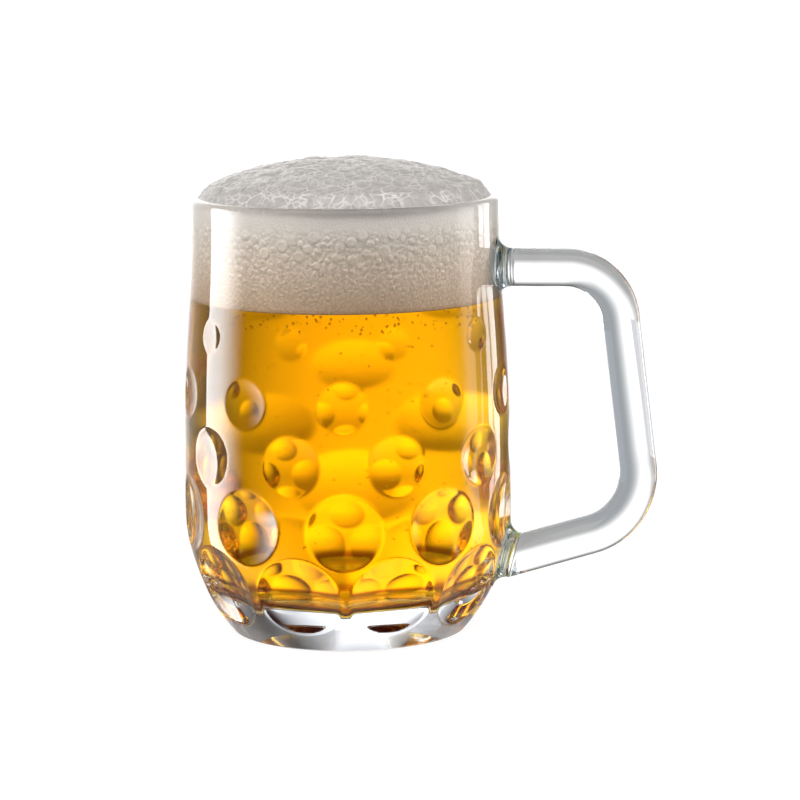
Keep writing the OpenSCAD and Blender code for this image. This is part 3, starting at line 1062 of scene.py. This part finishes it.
def make_floor():
    """Wide pale floor that bends up far off, seen by the camera but not through or in the glass."""
    material, _, shader = new_material("pale_floor")
    shader.inputs["Base Color"].default_value = (0.15, 0.15, 0.15, 1)
    shader.inputs["Roughness"].default_value = 0.9
    shader.inputs["Emission Color"].default_value = (1, 1, 1, 1)
    shader.inputs["Emission Strength"].default_value = 0.93
    turns = np.linspace(*BEND_TURNS, BEND_ROWS)
    radii = np.concatenate([FLOOR_RADII[0] + FLOOR_BEND * np.sin(turns), FLOOR_RADII])
    heights = np.concatenate([FLOOR_BEND * (1 - np.cos(turns)), np.zeros(len(FLOOR_RADII))])
    rings = around(radii, heights - FLOOR_GAP, turn(FLOOR_SEGMENTS))
    points = np.vstack([rings.reshape(-1, 3), [(0, 0, -FLOOR_GAP)]])
    middle, last = len(points) - 1, len(points) - 1 - FLOOR_SEGMENTS
    fan = [(middle, last + j, last + (j + 1) % FLOOR_SEGMENTS) for j in range(FLOOR_SEGMENTS)]
    floor = link_mesh("floor", points, tube_faces(len(radii), FLOOR_SEGMENTS) + fan, material)
    floor.visible_transmission = False
    floor.visible_glossy = False


def make_foam_light(azimuth, elevation, width, height, brightness, colour):
    """Flat soft light that faces the mug, neither mirrored nor seen itself, though it shows through glass."""
    data = bpy.data.lights.new("foam_light", "AREA")
    data.shape = "RECTANGLE"
    data.size, data.size_y = width, height
    data.energy = brightness * math.pi * width * height
    data.color = colour
    light = bpy.data.objects.new("foam_light", data)
    bpy.context.scene.collection.objects.link(light)
    way = compass(azimuth, elevation)
    aim = way.to_track_quat("Z", "Y").to_matrix().to_4x4()
    light.matrix_world = Matrix.Translation(LIGHT_DISTANCE * way) @ aim
    light.visible_camera = False
    light.visible_diffuse = False
    light.visible_glossy = False


def make_screen(name, points, shades, colour, strength):
    """Sheet of light over a grid of points, clear where its shade is nil and seen from one side."""
    material, tree, shader = new_material(name)
    behind = tree.nodes.new("ShaderNodeNewGeometry").outputs["Backfacing"]
    front = add_math(tree, "SUBTRACT", 1.0, behind)
    share = add_math(tree, "MULTIPLY", front, add_step(tree, add_layer_node(tree, "shade"), 0, 1))
    clear = tree.nodes.new("ShaderNodeBsdfTransparent")
    light = add_node(tree, "ShaderNodeEmission", Color=(*colour, 1), Strength=strength)
    fade = tree.nodes.new("ShaderNodeMixShader")
    tree.links.new(share, fade.inputs["Fac"])
    tree.links.new(clear.outputs[0], fade.inputs[1])
    tree.links.new(light.outputs[0], fade.inputs[2])
    tree.links.new(fade.outputs[0], tree.nodes["Material Output"].inputs["Surface"])
    tree.nodes.remove(shader)
    rows, columns, _ = points.shape
    screen = link_mesh(name, points.reshape(-1, 3), grid_faces(rows, columns), material)
    add_layer(screen, "shade", shades)
    screen.visible_camera = False
    screen.visible_diffuse = False
    screen.visible_shadow = False
    return screen


def make_softboxes():
    """Softboxes far off, seen only as reflections."""
    for azimuth, sides, heights, colour, strength in SOFTBOXES:
        aside = np.union1d(np.linspace(sides[0], sides[3], SOFTBOX_COLUMNS), sides)[::-1]
        above = np.union1d(np.linspace(heights[0], heights[3], SOFTBOX_ROWS), heights)
        ways = np.array([[compass(azimuth + a, e) for a in aside] for e in above])
        shades = slopes(above, heights)[:, None] * slopes(aside, sides)
        softbox = make_screen("softbox", ways * SOFTBOX_DISTANCE, shades, colour, strength)
        softbox.visible_transmission = False


def make_cards():
    """Grey cards: one shades the grip from behind, one stands in its opening, one lights it from before."""
    for start, end, heights, shades, colour, mirrored in CARDS:
        points = np.array([[(*start, z), (*end, z)] for z in heights])
        card = make_screen("grey_card", points, (*shades, *shades), colour, 1.0)
        card.visible_glossy = mirrored


# Camera, fitted to the photo

IMAGE_SIZE = 800
TARGET = Vector((0, 0, 66)) * MM
TARGET_PIXEL = (347.25, 410.6)
DISTANCE = 0.9
AZIMUTH, ELEVATION = 9.0, 9.21
FOCAL_PIXELS = 2979.6
ROLL = math.radians(0.67)
SENSOR = 36.0
CLIP_END = 100


def make_camera():
    """Camera at the photo's angle, turned so that its target falls on the target's pixel."""
    data = bpy.data.cameras.new("camera")
    data.sensor_width = SENSOR
    data.sensor_fit = "HORIZONTAL"
    data.lens = SENSOR * FOCAL_PIXELS / IMAGE_SIZE
    data.clip_end = CLIP_END
    camera = bpy.data.objects.new("camera", data)
    bpy.context.scene.collection.objects.link(camera)
    back = compass(AZIMUTH, ELEVATION)
    aim = back.to_track_quat("Z", "Y").to_matrix()
    seen = Vector((
        (TARGET_PIXEL[0] - IMAGE_SIZE / 2) / FOCAL_PIXELS,
        (IMAGE_SIZE / 2 - TARGET_PIXEL[1]) / FOCAL_PIXELS,
        -1,
    ))
    shift = seen.rotation_difference(Vector((0, 0, -1))).to_matrix()
    rotation = aim @ Matrix.Rotation(-ROLL, 3, "Z") @ shift
    camera.matrix_world = Matrix.Translation(TARGET + DISTANCE * back) @ rotation.to_4x4()
    bpy.context.scene.camera = camera


def set_light_paths():
    """Light passes many clear surfaces, and the colours are shown as they are."""
    scene = bpy.context.scene
    scene.cycles.max_bounces = 32
    scene.cycles.transmission_bounces = 32
    scene.cycles.glossy_bounces = 12
    scene.cycles.diffuse_bounces = 4
    scene.cycles.sample_clamp_indirect = 12
    scene.cycles.use_denoising = True
    scene.view_settings.view_transform = "Standard"


# The part

glass = make_glass("clear_pressed_glass", BODY_EDGE_SHADE)
rod_glass = make_glass("clear_rod_glass", ROD_EDGE_SHADE)
froth = make_foam_material()
(upper_seam, upper_tilt), (lower_seam, lower_tilt) = seams()
lower_pad_radius = ROD_RADIUS / math.cos(LOWER_SLOPE - lower_tilt) + LOWER_PAD_LEDGE
PIECES = (
    (make_body(glass), "mug_body", "glass"),
    (make_pad("glass_upper_pad", upper_seam, upper_tilt, ROD_RADIUS, rod_glass),
     "upper_handle_pad", "glass"),
    (make_pad("glass_lower_pad", lower_seam, lower_tilt, lower_pad_radius, rod_glass),
     "lower_handle_pad", "glass"),
    (make_handle(rod_glass), "handle", "glass"),
    (make_beer(make_beer_material()), "beer", "beer"),
    (make_foam_side(froth), "foam_head", "foam"),
    (make_foam_dome(froth), "foam_head", "foam"),
)
for piece, node, slot in PIECES:
    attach(piece, "root")
    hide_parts(node)

make_sky()
make_floor()
for values in FOAM_LIGHTS:
    make_foam_light(*values)
make_softboxes()
make_cards()
make_camera()
set_light_paths()
